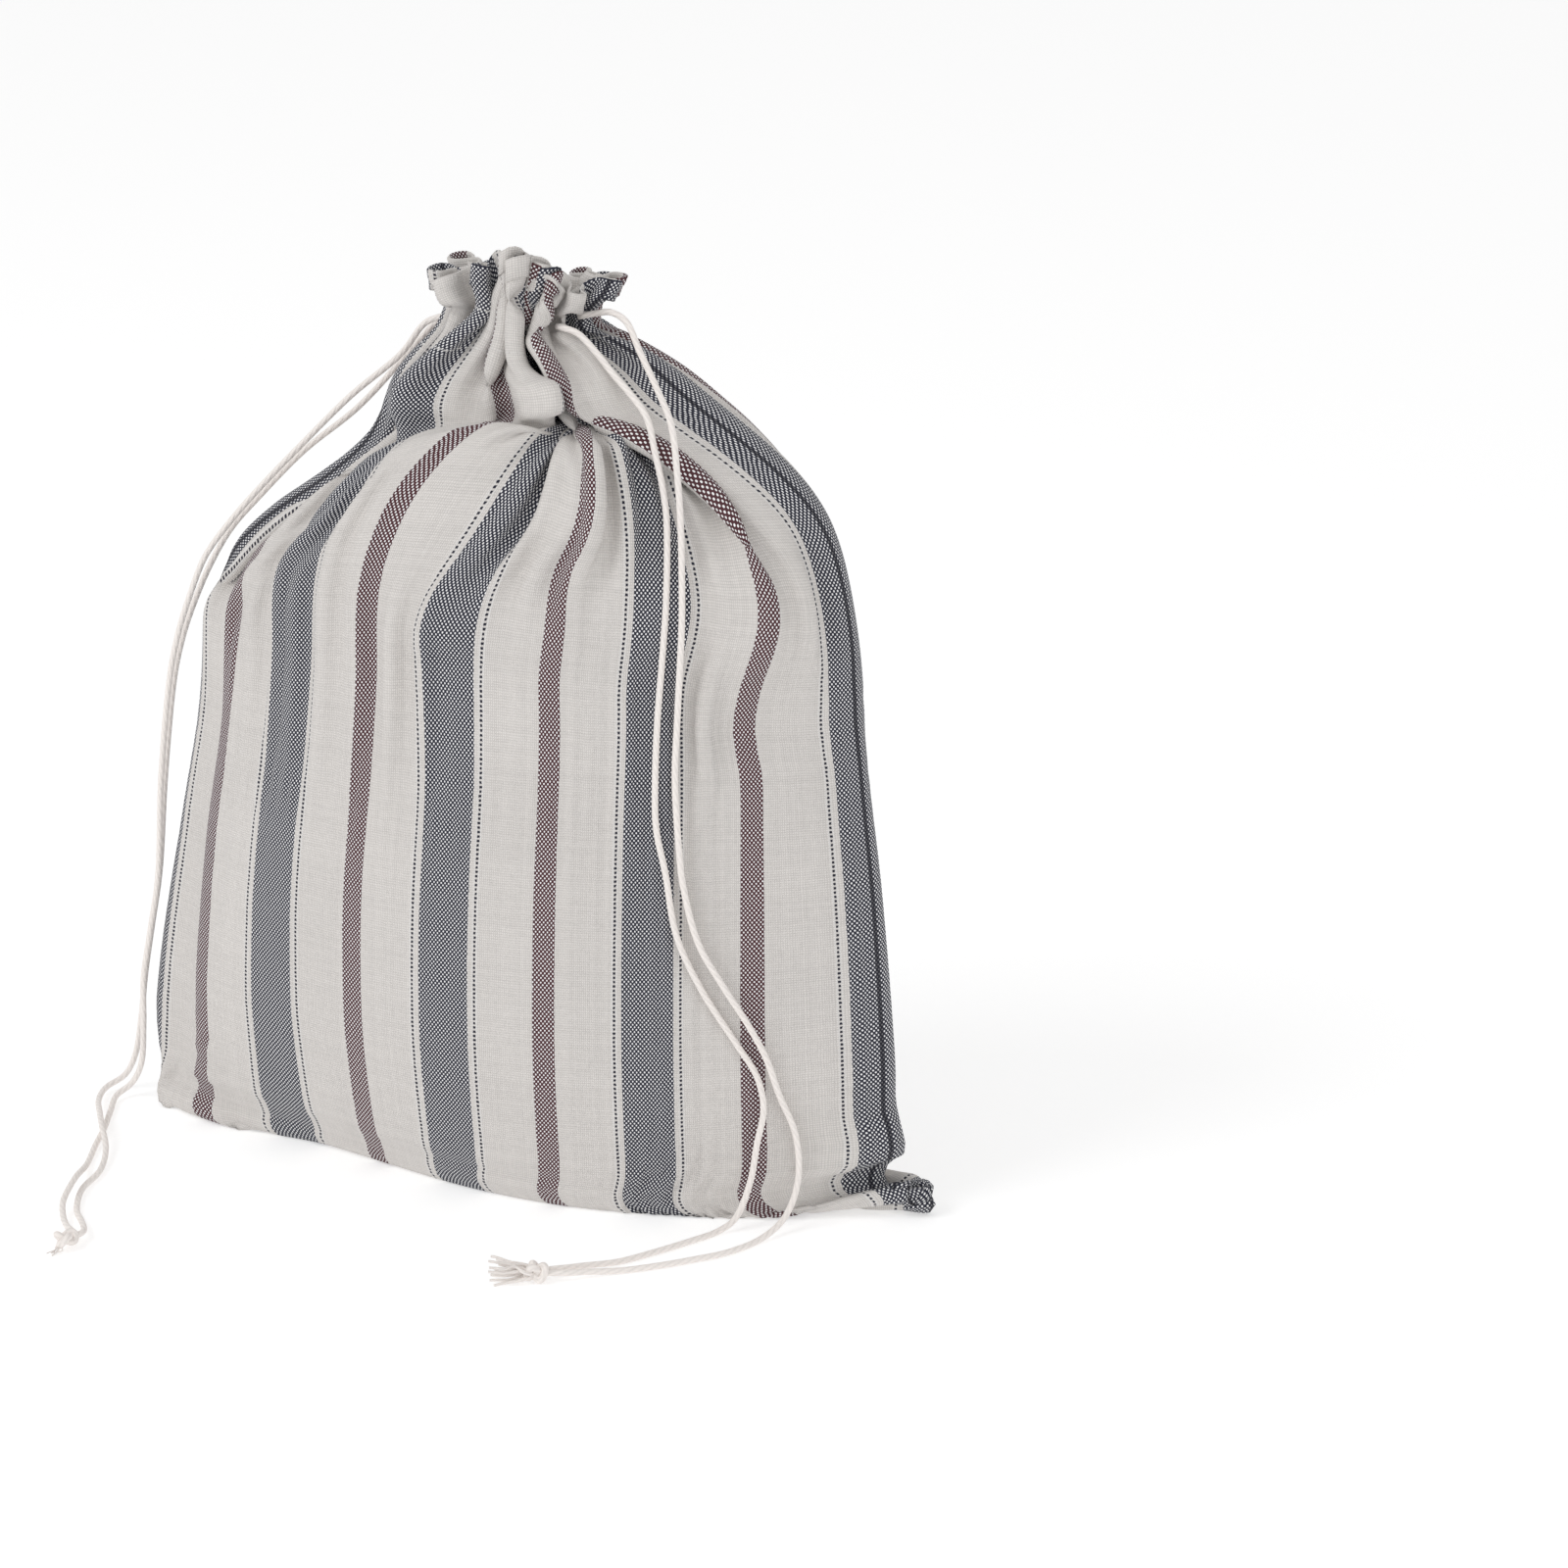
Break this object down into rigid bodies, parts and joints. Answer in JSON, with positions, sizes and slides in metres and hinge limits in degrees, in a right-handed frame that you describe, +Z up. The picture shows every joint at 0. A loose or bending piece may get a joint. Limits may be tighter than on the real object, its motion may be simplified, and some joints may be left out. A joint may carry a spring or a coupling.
{
  "type": "bread bag",
  "caption": "Drawstring bread bag of striped linen cloth, standing softly filled, mouth gathered, two cord pairs hanging to the floor.",
  "frame": {"origin": "on the floor, under the middle of the bag's own box, cords left out", "axes": "+Z up, -Y towards the front panel that faces the viewer, +X to the bag's right-hand side seam as seen from the front"},
  "size_m": [0.3203, 0.1957, 0.328],
  "materials": {
    "striped_linen": "woven, cream with navy and burgundy stripes",
    "cotton_cord": "soft twisted cotton"
  },
  "bodies": {
    "root": {"bag_cloth": "striped_linen", "cord_left_front": "cotton_cord", "cord_left_back": "cotton_cord", "cord_right_outer": "cotton_cord", "cord_right_inner": "cotton_cord", "knot_left": "cotton_cord", "knot_right": "cotton_cord"}
  },
  "joints": []
}
